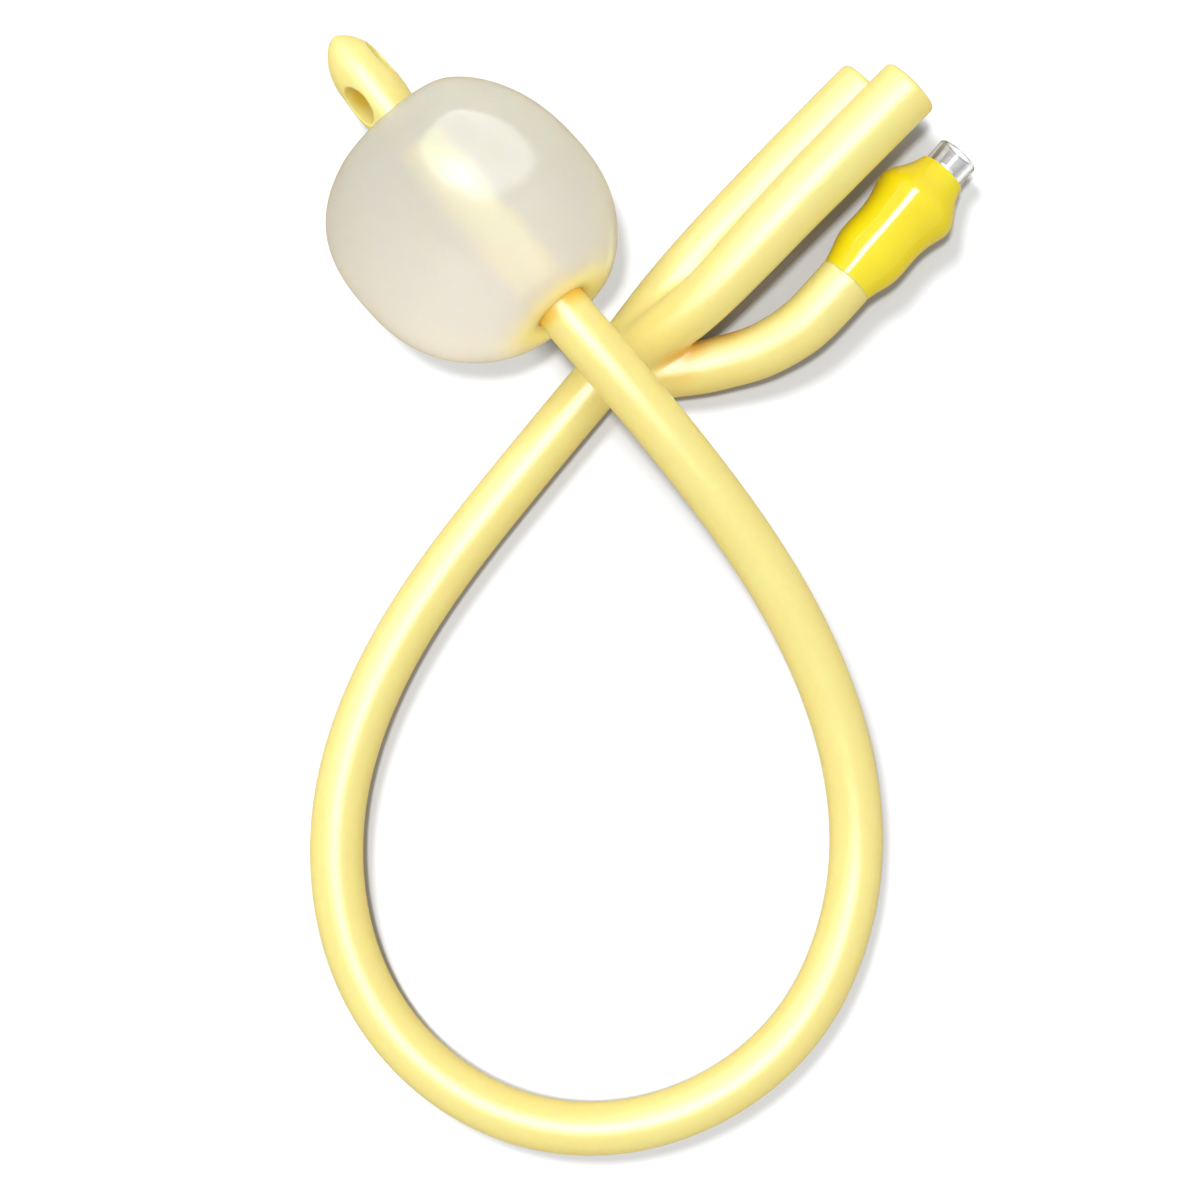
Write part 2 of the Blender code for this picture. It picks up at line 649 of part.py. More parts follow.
# return spring, between the plunger's flange and the retainer
turns, wire_r, coil_r, s0, s1 = 5.0, 0.2, 1.25, 11.75, 16.0
coil = []
for i in range(int(turns * 10) + 1):
    t = i / (turns * 10)
    a = math.tau * turns * t
    v = valve_frame @ Vector((coil_r * math.cos(a) * MM, coil_r * math.sin(a) * MM,
                              -(s0 + (s1 - s0) * t) * MM))
    coil.append((v.x / MM + FOOT_X, v.y / MM + FOOT_Y, v.z / MM))
valve_spring = tube("valve_spring", coil, wire_r, sides=1)
finish(valve_spring, STEEL)

bpy.context.view_layer.update()
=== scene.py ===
"""Three-way balloon catheter, lying in one open loop on a pale surface.

Metres, +Z up. The design numbers below are in millimetres, measured from the
point straight under the camera, and placed() turns them into scene points.
"""
import json
import math

import bmesh
import bpy
import numpy as np
from mathutils import Matrix, Vector
from mathutils.geometry import delaunay_2d_cdt

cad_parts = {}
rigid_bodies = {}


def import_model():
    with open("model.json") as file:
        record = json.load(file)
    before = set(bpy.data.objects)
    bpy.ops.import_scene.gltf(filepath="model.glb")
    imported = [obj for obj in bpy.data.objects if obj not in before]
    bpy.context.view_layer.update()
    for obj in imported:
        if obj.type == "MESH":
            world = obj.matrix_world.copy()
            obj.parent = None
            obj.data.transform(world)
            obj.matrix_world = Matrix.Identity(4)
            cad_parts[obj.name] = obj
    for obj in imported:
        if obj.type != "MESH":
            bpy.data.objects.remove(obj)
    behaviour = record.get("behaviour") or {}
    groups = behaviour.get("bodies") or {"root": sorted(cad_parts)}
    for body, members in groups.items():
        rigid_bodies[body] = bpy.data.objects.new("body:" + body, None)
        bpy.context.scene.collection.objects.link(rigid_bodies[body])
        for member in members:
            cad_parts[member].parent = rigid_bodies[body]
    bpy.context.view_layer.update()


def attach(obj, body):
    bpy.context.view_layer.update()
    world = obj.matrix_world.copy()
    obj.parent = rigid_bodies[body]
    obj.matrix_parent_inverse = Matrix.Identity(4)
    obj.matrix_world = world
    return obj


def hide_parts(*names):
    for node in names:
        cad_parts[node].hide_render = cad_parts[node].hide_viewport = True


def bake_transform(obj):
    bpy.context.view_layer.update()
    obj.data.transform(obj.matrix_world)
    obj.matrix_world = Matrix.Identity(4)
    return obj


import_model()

MM = 0.001
FOOT_X, FOOT_Y = 6.58, 6.945

# ---------------------------------------------------------------- dimensions
SHAFT_D = 7.333
R = SHAFT_D / 2
GAP = 0.3

LUMEN_DRAIN = (1.75, 0.0, 1.05)
LUMEN_IRRIG = (0.85, -1.05, -1.75)
LUMEN_INFLATE = (0.50, 1.15, -1.85)

BALLOON_R = 17.97
BALLOON_A = 18.56
BALLOON_POWER = 2.4
BALLOON_WALL = 0.5
BALLOON_DIMPLE = 3.2
BALLOON_DIMPLE_R = 10.0
BALLOON_EXIT = (2.32, 1.8)   # power and dimple of the end the shaft leaves by
EXIT_LEAN = 0.14             # that end leans back at the top, and sits a little in
EXIT_IN = 0.7
BALLOON_OFF = 1.6
BALLOON_SKEW = 0.023
CUFF_LEN = 3.0
CUFF_WALL = 0.5
BALLOON_C = (24.88, 47.26, 18.04)
BALLOON_TILT = 4.0

TIP_R = 3.92
TIP_LEN = 13.7
TIP_HEADING = (0.141, 0.990)
TIP_NOSE = 7.0
EYE_LEN = 6.0
EYE_WIDTH = 3.5
EYE_TURN = -53
EYE_Z = 3.6

ROUTE = [
    (26.05, 64.4), (24.88, 47.3), (23.8, 31.2), (23.4, 26.3), (22.6, 16.0),
    (21.0, 0.1), (19.3, -10.6), (16.6, -21.4), (12.6, -31.9), (7.0, -41.7),
    (-0.4, -50.1), (-9.5, -56.4), (-19.8, -60.2), (-30.8, -60.7),
    (-41.6, -57.8), (-51.0, -51.8), (-57.9, -43.2), (-61.6, -32.8),
    (-61.9, -21.7), (-58.8, -11.1), (-52.8, -1.8), (-44.7, 5.8),
    (-30.0, 13.5), (-13.7, 17.7), (2.9, 19.8), (20.9, 21.45),
]
ROUTE_END_SLOPE = (1.0, 0.08)
EXIT_Z = 19.17
EXIT_S = 33.3
LANDING = 90.0

IRRIG_ARM = [
    (19.6, 21.4, 3.67, 3.66), (24.3, 21.9, 3.75, 3.65), (28.0, 22.4, 3.85, 3.65),
    (31.2, 22.8, 3.9, 3.7), (34.7, 23.2, 3.95, 3.75), (41.6, 23.7, 4.0, 3.85),
    (51.5, 24.0, 4.05, 3.95), (62.2, 24.1, 4.12, 4.05), (70.0, 24.1, 4.17, 4.12),
    (76.0, 24.1, 4.17, 4.12),
]
DRAIN_ARM = [
    (19.6, 21.3, 3.6, 3.66), (21.3, 21.35, 3.75, 3.66), (24.3, 21.1, 4.4, 3.65),
    (28.0, 20.55, 5.6, 3.7), (30.7, 20.1, 6.8, 3.72), (33.9, 19.45, 8.2, 3.75),
    (36.5, 19.1, 9.1, 3.8), (39.6, 18.9, 9.9, 3.85), (44.2, 18.9, 10.6, 3.95),
    (51.5, 19.15, 11.2, 4.15), (62.2, 19.35, 11.55, 4.33), (71.0, 19.4, 11.6, 4.35),
    (79.0, 19.4, 11.6, 4.35),
]
INFLATE_ARM = [
    (20.0, 22.3, 3.67, 2.2), (21.6, 21.0, 3.67, 2.8), (24.25, 18.8, 3.75, 3.45),
    (29.2, 15.2, 3.9, 3.65), (32.8, 12.5, 4.2, 3.7), (35.6, 10.8, 4.5, 3.75),
    (39.1, 8.85, 5.1, 3.8), (42.5, 7.65, 5.7, 3.85), (45.9, 6.95, 6.3, 3.9),
    (50.1, 6.87, 6.8, 3.93), (54.15, 7.08, 7.15, 3.95), (55.2, 7.14, 7.2, 3.95),
]
DRAIN_BORE = 3.6
IRRIG_BORE = 3.35
LIP = 0.45

VALVE_MOUTH = (77.85, 8.43, 5.5)
VALVE_HEADING = 3.3
VALVE_DROOP = 4.0
LUER_R = 3.05
LUER_BORE = (2.14, 1.95)
LUER_DEPTH = 7.5
SEAT_WEB = 1.2
SEAT_R = 1.0
CHAMBER_R = 2.0
HOUSING_LEN = 20.0
JOINT_S = 23.6
SLEEVE = [
    (3.4, 3.45), (5.0, 4.0), (6.9, 5.15), (8.9, 6.1), (11.4, 5.6),
    (14.6, 5.1), (17.2, 5.15), (19.4, 5.0), (21.6, 4.35), (23.35, 3.9),
]

CAMERA_HEIGHT = 450.0


# ------------------------------------------------------------- geometry help
def placed(x, y, z):
    """A design point in millimetres as a scene point in metres."""
    return Vector(((x - FOOT_X) * MM, (y - FOOT_Y) * MM, z * MM))


def natural_spline(points, first=None, last=None):
    """Smooth curve through points; returns a function of route length."""
    p = np.array(points, float)
    t = np.concatenate([[0], np.cumsum(np.linalg.norm(np.diff(p, axis=0), axis=1))])
    n = len(p)
    a = np.zeros((n, n))
    b = np.zeros_like(p)
    h = np.diff(t)
    for i in range(1, n - 1):
        a[i, i - 1], a[i, i], a[i, i + 1] = h[i - 1], 2 * (h[i - 1] + h[i]), h[i]
        b[i] = 6 * ((p[i + 1] - p[i]) / h[i] - (p[i] - p[i - 1]) / h[i - 1])
    a[0, 0] = a[-1, -1] = 1
    if first is not None:
        d = np.array(first, float)
        d /= np.linalg.norm(d)
        a[0, 0], a[0, 1] = 2 * h[0], h[0]
        b[0] = 6 * ((p[1] - p[0]) / h[0] - d)
    if last is not None:
        d = np.array(last, float)
        d /= np.linalg.norm(d)
        a[-1, -1], a[-1, -2] = 2 * h[-1], h[-1]
        b[-1] = 6 * (d - (p[-1] - p[-2]) / h[-1])
    m = np.linalg.solve(a, b)

    def at(s):
        i = int(np.clip(np.searchsorted(t, s) - 1, 0, n - 2))
        u, v = (t[i + 1] - s), (s - t[i])
        return ((m[i] * u ** 3 + m[i + 1] * v ** 3) / (6 * h[i])
                + (p[i] / h[i] - m[i] * h[i] / 6) * u
                + (p[i + 1] / h[i] - m[i + 1] * h[i] / 6) * v)

    return at, t[-1]


def even(points, count, **ends):
    """count + 1 points, evenly spaced, on the smooth curve through points."""
    at, length = natural_spline(points, **ends)
    fine = np.array([at(s) for s in np.linspace(0, length, 2400)])
    run = np.concatenate([[0], np.cumsum(np.linalg.norm(np.diff(fine, axis=0), axis=1))])
    want = np.linspace(0, run[-1], count + 1)
    return np.stack([np.interp(want, run, fine[:, k]) for k in range(fine.shape[1])], 1), run[-1]


def shaft_height(s):
    """Height of the shaft's centreline at route length s from the tip's end."""
    slope = math.tan(math.radians(BALLOON_TILT))
    if s <= EXIT_S:
        return EXIT_Z + (s - EXIT_S) * slope
    t = min(1.0, (s - EXIT_S) / LANDING)
    return ((2 * t ** 3 - 3 * t ** 2 + 1) * EXIT_Z
            + (t ** 3 - 2 * t ** 2 + t) * LANDING * slope
            + (3 * t ** 2 - 2 * t ** 3) * R)


def frames(points):
    """Tangent, side and up at each point of a path that never runs upright."""
    tangent = np.gradient(points, axis=0)
    tangent /= np.linalg.norm(tangent, axis=1)[:, None]
    side = np.cross(tangent, (0, 0, 1.0))
    side /= np.linalg.norm(side, axis=1)[:, None]
    return tangent, side, np.cross(side, tangent)


def new_object(name, mesh):
    ob = bpy.data.objects.new(name, mesh)
    bpy.context.scene.collection.objects.link(ob)
    return ob


def mesh_from(name, verts, faces):
    mesh = bpy.data.meshes.new(name)
    mesh.from_pydata([tuple(v) for v in verts], [], [tuple(f) for f in faces])
    bm = bmesh.new()
    bm.from_mesh(mesh)
    bmesh.ops.recalc_face_normals(bm, faces=bm.faces)
    bm.to_mesh(mesh)
    bm.free()
    return mesh


def soft(ob, angle=None):
    ob.data.shade_smooth()
    if angle:
        ob.data.set_sharp_from_angle(angle=math.radians(angle))
    return ob


def tube_mesh(name, points, radii, sides=36):
    """A closed round tube along points (mm) with one radius for each."""
    points = np.array(points, float)
    _, side, up = frames(points)
    a = np.linspace(0, math.tau, sides, endpoint=False)
    verts = []
    for q, s, u, r in zip(points, side, up, radii):
        for c in a:
            verts.append(placed(*(q + s * math.cos(c) * r + u * math.sin(c) * r)))
    faces = []
    for i in range(len(points) - 1):
        for k in range(sides):
            n = (k + 1) % sides
            faces.append((i * sides + k, i * sides + n, (i + 1) * sides + n, (i + 1) * sides + k))
    faces.append(tuple(range(sides)))
    faces.append(tuple(range((len(points) - 1) * sides, len(points) * sides)))
    return mesh_from(name, verts, faces)


def revolved(name, outline, steps, matrix, shape=None):
    """A closed ring turned about local Z from a closed (radius, z) outline.

    Where the outline touches the axis the two ends close in a point. shape
    may move each point: it gets (radius, z, angle) and returns (radius, z).
    """
    on_axis = outline[0][0] < 1e-6 and outline[-1][0] < 1e-6
    rows = outline[1:-1] if on_axis else outline
    verts, faces = [], []
    for r, z in rows:
        for k in range(steps):
            a = math.tau * k / steps
            rr, zz = shape(r, z, a) if shape else (r, z)
            verts.append(matrix @ (Vector((rr * math.cos(a), rr * math.sin(a), zz)) * MM))
    n = len(rows)
    for i in range(n - 1 if on_axis else n):
        j = (i + 1) % n
        for k in range(steps):
            m = (k + 1) % steps
            faces.append((i * steps + k, i * steps + m, j * steps + m, j * steps + k))
    if on_axis:
        for row, end in ((0, outline[0]), (n - 1, outline[-1])):
            verts.append(matrix @ (Vector((0, 0, end[1])) * MM))
            c = len(verts) - 1
            for k in range(steps):
                faces.append((row * steps + k, row * steps + (k + 1) % steps, c))
    return mesh_from(name, verts, faces)


def rounded(outline, closed=True, default=0.0):
    """Rounds the corners of a (radius, z[, fillet]) outline with short arcs."""
    n = len(outline)
    out = []
    for i, corner in enumerate(outline):
        fillet = corner[2] if len(corner) > 2 else default
        p = np.array(corner[:2], float)
        if fillet <= 0 or (not closed and i in (0, n - 1)):
            out.append(tuple(p))
            continue
        a = np.array(outline[i - 1][:2], float) - p
        b = np.array(outline[(i + 1) % n][:2], float) - p
        la, lb = np.linalg.norm(a), np.linalg.norm(b)
        a, b = a / la, b / lb
        d = min(fillet, la * 0.45, lb * 0.45)
        for t in np.linspace(0, 1, 5):
            out.append(tuple(p + a * d * (1 - t) ** 2 + b * d * t ** 2))
    return out


def only(ob):
    bpy.ops.object.select_all(action="DESELECT")
    ob.select_set(True)
    bpy.context.view_layer.objects.active = ob


def boolean(ob, tools, operation):
    """Joins or cuts ob with tools, which are used up."""
    for tool in tools:
        mod = ob.modifiers.new("bool", "BOOLEAN")
        mod.operation = operation
        mod.solver = "MANIFOLD"
        mod.object = tool
        only(ob)
        bpy.ops.object.modifier_apply(modifier=mod.name)
        bpy.data.objects.remove(tool, do_unlink=True)
    return ob


def remeshed(ob, voxel, smooth=0, factor=0.5):
    """One even skin over ob, with its sharp edges eased by smoothing."""
    mod = ob.modifiers.new("skin", "REMESH")
    mod.mode = "VOXEL"
    mod.voxel_size = voxel * MM
    only(ob)
    bpy.ops.object.modifier_apply(modifier=mod.name)
    if smooth:
        mod = ob.modifiers.new("ease", "LAPLACIANSMOOTH" if factor < 0 else "SMOOTH")
        mod.iterations = smooth
        if factor >= 0:
            mod.factor = factor
        bpy.ops.object.modifier_apply(modifier=mod.name)
    return ob


# ------------------------------------------------------------------ materials
def nodes_of(name):
    mat = bpy.data.materials.new(name)
    mat.use_nodes = True
    tree = mat.node_tree
    return mat, tree, tree.nodes["Principled BSDF"]


def set_inputs(bsdf, **values):
    for key, value in values.items():
        bsdf.inputs[key.replace("_", " ")].default_value = value


def noise(tree, scale, detail=3.0, rough=0.5, coords=None):
    tex = tree.nodes.new("ShaderNodeTexNoise")
    tex.inputs["Scale"].default_value = scale
    tex.inputs["Detail"].default_value = detail
    tex.inputs["Roughness"].default_value = rough
    if coords is None:
        coords = tree.nodes.new("ShaderNodeTexCoord").outputs["Object"]
    tree.links.new(coords, tex.inputs["Vector"])
    return tex


def tint(tree, bsdf, factor, low, high, at=(0.35, 0.65)):
    ramp = tree.nodes.new("ShaderNodeValToRGB")
    ramp.color_ramp.elements[0].position = at[0]
    ramp.color_ramp.elements[1].position = at[1]
    ramp.color_ramp.elements[0].color = (*low, 1)
    ramp.color_ramp.elements[1].color = (*high, 1)
    tree.links.new(factor, ramp.inputs["Fac"])
    tree.links.new(ramp.outputs["Color"], bsdf.inputs["Base Color"])
    return ramp


def spread(tree, factor, low, high, target):
    remap = tree.nodes.new("ShaderNodeMapRange")
    remap.inputs["To Min"].default_value = low
    remap.inputs["To Max"].default_value = high
    tree.links.new(factor, remap.inputs["Value"])
    tree.links.new(remap.outputs["Result"], target)


def bump(tree, bsdf, height, strength, distance):
    node = tree.nodes.new("ShaderNodeBump")
    node.inputs["Strength"].default_value = strength
    node.inputs["Distance"].default_value = distance
    tree.links.new(height, node.inputs["Height"])
    tree.links.new(node.outputs["Normal"], bsdf.inputs["Normal"])


def painted_shade_and_gathered_tint(tree, bsdf, colour_from, point, near, far, colour):
    """Mixes a colour in round a point: painted shade in creases, recesses and where the shaft meets the
    balloon, and the balloon neck's golden tint, which is partly thicker gathered film and partly a painted
    reflection of the yellow shaft.
    """
    place = tree.nodes.new("ShaderNodeTexCoord").outputs["Object"]
    away = tree.nodes.new("ShaderNodeVectorMath")
    away.operation = "DISTANCE"
    away.inputs[1].default_value = point
    tree.links.new(place, away.inputs[0])
    part = tree.nodes.new("ShaderNodeMapRange")
    part.interpolation_type = "SMOOTHSTEP"
    for key, value in (("From Min", near), ("From Max", far), ("To Min", 1.0), ("To Max", 0.0)):
        part.inputs[key].default_value = value
    tree.links.new(away.outputs["Value"], part.inputs["Value"])
    mix = tree.nodes.new("ShaderNodeMix")
    mix.data_type = "RGBA"
    tree.links.new(part.outputs["Result"], mix.inputs["Factor"])
    tree.links.new(colour_from, mix.inputs[6])
    mix.inputs[7].default_value = (*colour, 1)
    tree.links.new(mix.outputs[2], bsdf.inputs["Base Color"])
    return mix.outputs[2]


def latex(name, scatter, painted_shade_spots=()):
    mat, tree, bsdf = nodes_of(name)
    set_inputs(bsdf, Roughness=0.32, IOR=1.45, Subsurface_Weight=0.8,
               Subsurface_Scale=scatter, Coat_Weight=0.0)
    bsdf.inputs["Subsurface Radius"].default_value = (1.0, 0.62, 0.2)
    cloud = noise(tree, 55.0, 3.0, 0.55)
    ramp = tint(tree, bsdf, cloud.outputs["Fac"], (0.95, 0.80, 0.295), (0.96, 0.82, 0.315))
    colour = ramp.outputs["Color"]
    # each spot paints shade round a point, darker and more golden towards it
    for shade_spot in painted_shade_spots:
        colour = painted_shade_and_gathered_tint(tree, bsdf, colour, *shade_spot)
    grain = noise(tree, 900.0, 4.0, 0.6)
    spread(tree, grain.outputs["Fac"], 0.27, 0.35, bsdf.inputs["Roughness"])
    bump(tree, bsdf, grain.outputs["Fac"], 0.12, 0.00006)
    return mat


def film():
    """Thin latex, pale where it is stretched. Its neck is golden, partly as thicker gathered film and
    partly as a painted reflection of the yellow shaft, with painted shade where the shaft leaves.
    """
    mat, tree, bsdf = nodes_of("balloon_film")
    set_inputs(bsdf, Roughness=0.2, IOR=1.12, Transmission_Weight=0.57,
               Coat_Weight=0.6, Coat_Roughness=0.0, Coat_IOR=1.33,
               Sheen_Weight=0.22, Sheen_Roughness=0.4,
               Subsurface_Weight=1.0, Subsurface_Scale=0.0008)
    bsdf.inputs["Subsurface Radius"].default_value = (1.0, 0.85, 0.6)
    cloud = noise(tree, 38.0, 2.0, 0.5)
    ramp = tint(tree, bsdf, cloud.outputs["Fac"], (0.785, 0.785, 0.735), (0.805, 0.805, 0.755))
    # golden tint round the neck: partly thicker gathered film, partly a painted reflection of the yellow
    # shaft
    colour = painted_shade_and_gathered_tint(tree, bsdf, ramp.outputs["Color"], placed(23.6, 29.0, 19.0), 0.004, 0.0122,
                    (1.0, 0.87, 0.28))
    # painted shade: a darker golden ring where the shaft leaves the balloon
    painted_shade_and_gathered_tint(tree, bsdf, colour, placed(23.82, 31.4, 19.1), 0.0040, 0.0052, (0.92, 0.68, 0.16))
    spread(tree, cloud.outputs["Fac"], 0.18, 0.22, bsdf.inputs["Roughness"])
    return mat


def sleeve_paint():
    mat, tree, bsdf = nodes_of("sleeve_gloss")
    set_inputs(bsdf, Roughness=0.14, IOR=1.5, Subsurface_Weight=0.25,
               Subsurface_Scale=0.0008, Coat_Weight=0.6, Coat_Roughness=0.05)
    bsdf.inputs["Subsurface Radius"].default_value = (1.0, 0.7, 0.1)
    cloud = noise(tree, 90.0, 3.0, 0.5)
    tint(tree, bsdf, cloud.outputs["Fac"], (0.94, 0.76, 0.002), (0.96, 0.81, 0.006))
    spread(tree, cloud.outputs["Fac"], 0.10, 0.18, bsdf.inputs["Roughness"])
    bump(tree, bsdf, cloud.outputs["Fac"], 0.15, 0.0002)
    return mat


def clear():
    mat, tree, bsdf = nodes_of("clear_plastic")
    set_inputs(bsdf, Roughness=0.04, IOR=1.49, Transmission_Weight=0.96)
    fine = noise(tree, 400.0, 2.0, 0.5)
    tint(tree, bsdf, fine.outputs["Fac"], (0.93, 0.94, 0.95), (0.97, 0.975, 0.98))
    return mat


def white_plastic():
    mat, tree, bsdf = nodes_of("white_plastic")
    set_inputs(bsdf, Roughness=0.35, IOR=1.46)
    fine = noise(tree, 1200.0, 3.0, 0.5)
    tint(tree, bsdf, fine.outputs["Fac"], (0.80, 0.81, 0.81), (0.86, 0.865, 0.86))
    spread(tree, fine.outputs["Fac"], 0.3, 0.42, bsdf.inputs["Roughness"])
    return mat


def seal_rubber():
    mat, tree, bsdf = nodes_of("seal_rubber")
    set_inputs(bsdf, Roughness=0.6, IOR=1.5)
    fine = noise(tree, 2500.0, 3.0, 0.6)
    tint(tree, bsdf, fine.outputs["Fac"], (0.022, 0.022, 0.024), (0.045, 0.045, 0.048))
    return mat


def spring_wire():
    mat, tree, bsdf = nodes_of("spring_wire")
    set_inputs(bsdf, Roughness=0.28, Metallic=1.0)
    fine = noise(tree, 3000.0, 2.0, 0.5)
    tint(tree, bsdf, fine.outputs["Fac"], (0.50, 0.51, 0.52), (0.66, 0.67, 0.68))
    spread(tree, fine.outputs["Fac"], 0.2, 0.36, bsdf.inputs["Roughness"])
    return mat


# painted shade: the shaft is darker and golden where it goes into the balloon
LATEX = latex("latex_tube", 0.0011, [
    (placed(23.88, 32.6, 19.07), 0.00375, 0.0051, (0.93, 0.64, 0.09))])
# painted shade: golden darkening in the crotch between the drainage funnel and the inflation arm, and on
# the arm under the funnel's overhang
LATEX_HUB = latex("latex_hub", 0.0011, [
    (placed(31.6, 16.4, 5.2), 0.0010, 0.0058, (0.87, 0.50, 0.07)),
    (placed(38.2, 13.4, 4.9), 0.0004, 0.0044, (0.91, 0.58, 0.12))])
FILM, SLEEVE_GLOSS, CLEAR = film(), sleeve_paint(), clear()
WHITE, SEAL, STEEL = white_plastic(), seal_rubber(), spring_wire()


def finished(ob, mat, body, slot, *cad_nodes, angle=None):
    """Gives a piece its material and its body, and hides the CAD nodes it stands for."""
    ob.data.materials.clear()
    ob.data.materials.append(mat)
    soft(ob, angle)
    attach(ob, body)
    if cad_nodes:
        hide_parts(*cad_nodes)
    return ob


# --------------------------------------------------------------------- camera
cam = bpy.data.objects.new("camera", bpy.data.cameras.new("camera"))
bpy.context.scene.collection.objects.link(cam)
cam.location = placed(0, 0, CAMERA_HEIGHT)
cam.rotation_euler = (0, 0, math.radians(-45))
cam.data.sensor_width = 36.0
cam.data.lens = 97.32
cam.data.clip_start, cam.data.clip_end = 0.01, 10.0
bpy.context.scene.camera = cam

# ---------------------------------------------------------------------- shaft
SHAFT_SEGMENTS = 400
flat, ROUTE_LEN = even(ROUTE, SHAFT_SEGMENTS, first=(-0.07, -1.0), last=ROUTE_END_SLOPE)
step = ROUTE_LEN / SHAFT_SEGMENTS
path = np.array([(x, y, shaft_height(i * step)) for i, (x, y) in enumerate(flat)])
tangent, side, up = frames(path)


def ring(radius, across, above, count):
    return [(across + radius * math.cos(a), above + radius * math.sin(a))
            for a in np.linspace(0, math.tau, count, endpoint=False)]


def extruded_tube(name, line, side_, up_, rings):
    """A tube with channels: rings[0] is the outside, the rest are channels."""
    flat_pts = [p for loop in rings for p in loop]
    m = len(flat_pts)
    verts = []
    for q, s, u in zip(line, side_, up_):
        for c, d in flat_pts:
            verts.append(placed(*(q + s * c + u * d)))
    faces = []
    start = 0
    for loop in rings:
        k = len(loop)
        for i in range(len(line) - 1):
            for j in range(k):
                a, b = start + j, start + (j + 1) % k
                faces.append((i * m + a, i * m + b, (i + 1) * m + b, (i + 1) * m + a))
        start += k
    edges, start = [], 0
    for loop in rings:
        k = len(loop)
        edges += [(start + j, start + (j + 1) % k) for j in range(k)]
        start += k
    _, _, tris, origin, _, _ = delaunay_2d_cdt([Vector(p) for p in flat_pts], edges, [], 0, 1e-7)
    back = {i: o[0] for i, o in enumerate(origin) if o}
    bores = [(np.mean(loop, axis=0), np.linalg.norm(np.array(loop[0]) - np.mean(loop, axis=0)))
             for loop in rings[1:]]
    for tri in tris:
        tri = [back[i] for i in tri]
        c = np.mean([flat_pts[i] for i in tri], axis=0)
        if any(np.linalg.norm(c - mid) < rad * 0.985 for mid, rad in bores):
            continue
        faces.append(tuple(tri))
        faces.append(tuple((len(line) - 1) * m + i for i in reversed(tri)))
    return mesh_from(name, verts, faces)


# the tube ends a hair short of the tip and of the funnels
tube_line = path.copy()
tube_line[0] = path[0] - tangent[0] * 0.02
tube_line[-1] = path[-1] + tangent[-1] * (GAP - 0.03)
sections = [ring(R - 0.015, 0, 0, 48), ring(LUMEN_DRAIN[0], *LUMEN_DRAIN[1:], 24),
            ring(LUMEN_IRRIG[0], *LUMEN_IRRIG[1:], 14), ring(LUMEN_INFLATE[0], *LUMEN_INFLATE[1:], 10)]
shaft_tube = new_object("shaft_tube", extruded_tube("shaft_tube", tube_line, side, up, sections))
finished(shaft_tube, LATEX, "catheter", "latex", "shaft", angle=50)

# ------------------------------------------------------------------------ tip
tip_z = Vector((*TIP_HEADING, -math.tan(math.radians(BALLOON_TILT)))).normalized()
tip_x = tip_z.cross(Vector((0, 0, 1))).normalized()
tip_y = tip_z.cross(tip_x).normalized()
tip_frame = Matrix.Identity(4)
for k, axis in enumerate((tip_x, tip_y, tip_z)):
    tip_frame.col[k][:3] = axis
cad_side, cad_up = side[0], up[0]
tip_frame.translation = placed(*(path[0] + np.array(tip_z) * (GAP + 0.25)))


def tip_radius(z):
    back = TIP_LEN - z
    if back <= TIP_NOSE:
        return TIP_R * (1 - (1 - back / TIP_NOSE) ** 2) ** 0.65
    t = min(1.0, max(0.0, z) / 3.0)
    return R + (TIP_R - R) * t * t * (3 - 2 * t)


sky = tip_frame.inverted().to_3x3() @ Vector((0, 0, 1))
sky_angle = math.atan2(sky.y, sky.x)


def tip_local(across, above):
    v = tip_frame.inverted().to_3x3() @ Vector(cad_side * across + cad_up * above)
    return v.x, v.y


nose = [TIP_LEN - TIP_NOSE * (1 - math.cos(a)) for a in np.linspace(0.03, math.pi / 2, 40)]
tip_line = [(0.0, TIP_LEN)] + [(tip_radius(z), z) for z in nose]
tip_line += [(tip_radius(z), z) for z in np.linspace(6.5, 0.0, 24)]
tip_line += [(R, -0.5), (0.0, -0.5)]
tip = new_object("moulded_tip", revolved("moulded_tip", tip_line, 72, tip_frame))


def local_cylinder(name, r1, r2, length, centre, axes=None, scale=(1, 1), sides=40, puff=0.0):
    """A round or oval plug in the tip's frame, flared at its outer end by puff."""
    rows = [(-length / 2, r1), (0.0, (r1 + r2) / 2), (length / 2 - 1.2, r2), (length / 2, r2 + puff)]
    verts = []
    for z, r in rows:
        for a in np.linspace(0, math.tau, sides, endpoint=False):
            v = Vector((r * math.cos(a) * scale[0], r * math.sin(a) * scale[1], z))
            if axes is not None:
                v = axes[0] * v.x + axes[1] * v.y + axes[2] * v.z
            verts.append(tip_frame @ ((v + Vector(centre)) * MM))
    faces = [tuple(range(sides)), tuple(range((len(rows) - 1) * sides, len(rows) * sides))]
    for i in range(len(rows) - 1):
        for k in range(sides):
            n = (k + 1) % sides
            faces.append((i * sides + k, i * sides + n, (i + 1) * sides + n, (i + 1) * sides + k))
    return new_object(name, mesh_from(name, verts, faces))


def eye_axes(turn):
    a = sky_angle + math.radians(turn)
    return Vector((math.cos(a), math.sin(a), 0)), Vector((-math.sin(a), math.cos(a), 0))


def eye_plug(name, turn, z, length, width, depth):
    out, across = eye_axes(turn)
    return local_cylinder(name, 0.5, 0.5, 4.8, out * (depth + 2.4) + Vector((0, 0, z)),
                          axes=(across, Vector((0, 0, 1)), out), scale=(width, length))


